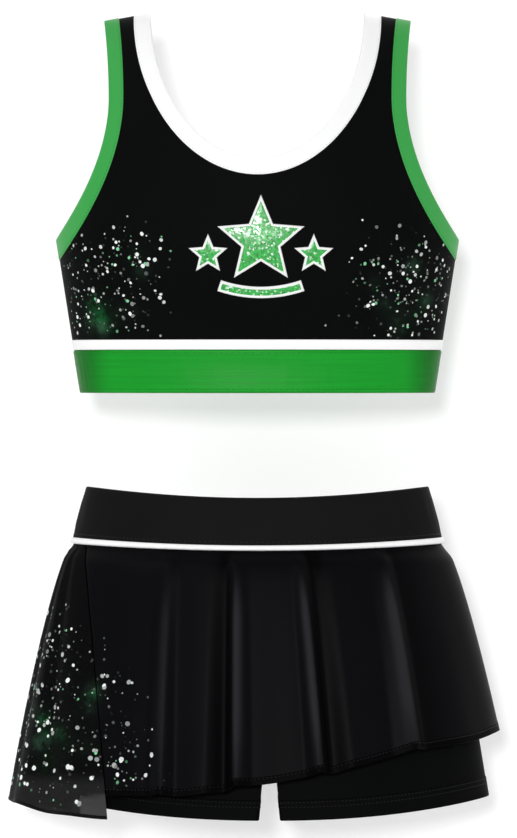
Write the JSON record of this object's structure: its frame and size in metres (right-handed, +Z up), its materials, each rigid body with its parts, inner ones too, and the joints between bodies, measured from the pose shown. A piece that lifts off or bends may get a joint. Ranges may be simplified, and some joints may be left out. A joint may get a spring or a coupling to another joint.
{
  "type": "cheer uniform",
  "caption": "Cheer uniform in its worn shape: a scoop-neck crop top with a banded hem above a skort with a flared flounce and a sheer side panel.",
  "frame": {"origin": "centre of the skort's waist opening, at the height of the waist seam at the sides", "axes": "+Z up the wearer's body, -Y the way the wearer faces, +X to the right of a person looking at the front"},
  "size_m": [0.4293, 0.2489, 0.7072],
  "materials": {
    "black_knit": "matte four-way stretch knit",
    "flounce_knit": "soft-sheen stretch knit",
    "lining_knit": "matte lining knit",
    "sheer_mesh": "sheer power mesh",
    "green_band": "shiny coated stretch knit",
    "green_binding": "satin binding",
    "white_binding": "matte binding",
    "white_piping": "matte piping",
    "elastic": "woven elastic",
    "label_satin": "blank satin tape",
    "applique_white": "embroidered satin stitch",
    "applique_green": "glitter twill"
  },
  "bodies": {
    "skort": {"waistband": "black_knit", "waistband_elastic": "elastic", "waist_piping": "white_piping", "shorts_front_left": "black_knit", "shorts_front_right": "black_knit", "shorts_back_left": "black_knit", "shorts_back_right": "black_knit", "leg_hem_left": "black_knit", "leg_hem_right": "black_knit", "gusset_lining": "lining_knit", "flounce_heading": "black_knit", "skort_care_label": "label_satin"},
    "crop_top": {"top_front_panel": "black_knit", "top_back_panel": "black_knit", "top_front_lining": "lining_knit", "top_back_lining": "lining_knit", "neck_binding": "white_binding", "armhole_binding_left": "green_binding", "armhole_binding_right": "green_binding", "shoulder_tape_left": "elastic", "shoulder_tape_right": "elastic", "underbust_stripe": "white_binding", "underbust_band": "green_band", "underbust_elastic": "elastic", "top_care_label": "label_satin", "emblem_star_centre": "applique_green", "emblem_star_centre_outline": "applique_white", "emblem_star_left": "applique_green", "emblem_star_left_outline": "applique_white", "emblem_star_right": "applique_green", "emblem_star_right_outline": "applique_white", "emblem_arc": "applique_green", "emblem_arc_outline": "applique_white"},
    "front_flounce": {"front_flounce_panel": "flounce_knit", "front_flounce_hem": "flounce_knit"},
    "back_flounce": {"back_flounce_panel": "flounce_knit", "back_flounce_hem": "flounce_knit"},
    "side_mesh": {"side_mesh_panel": "sheer_mesh", "side_mesh_binding": "black_knit"}
  },
  "joints": [
    {"name": "top_lift", "type": "slide", "parent": "skort", "child": "crop_top", "axis": [0, 0, 1], "range_m": [0, 0.25]},
    {"name": "front_flounce_swing", "type": "hinge", "parent": "skort", "child": "front_flounce", "pos_m": [0, -0.048, -0.033], "axis": [-1, 0, 0], "range_deg": [0, 18]},
    {"name": "back_flounce_swing", "type": "hinge", "parent": "skort", "child": "back_flounce", "pos_m": [0, 0.048, -0.033], "axis": [1, 0, 0], "range_deg": [0, 18]},
    {"name": "side_mesh_swing", "type": "hinge", "parent": "skort", "child": "side_mesh", "pos_m": [-0.16, 0, -0.028], "axis": [0, 1, 0], "range_deg": [0, 20]}
  ]
}
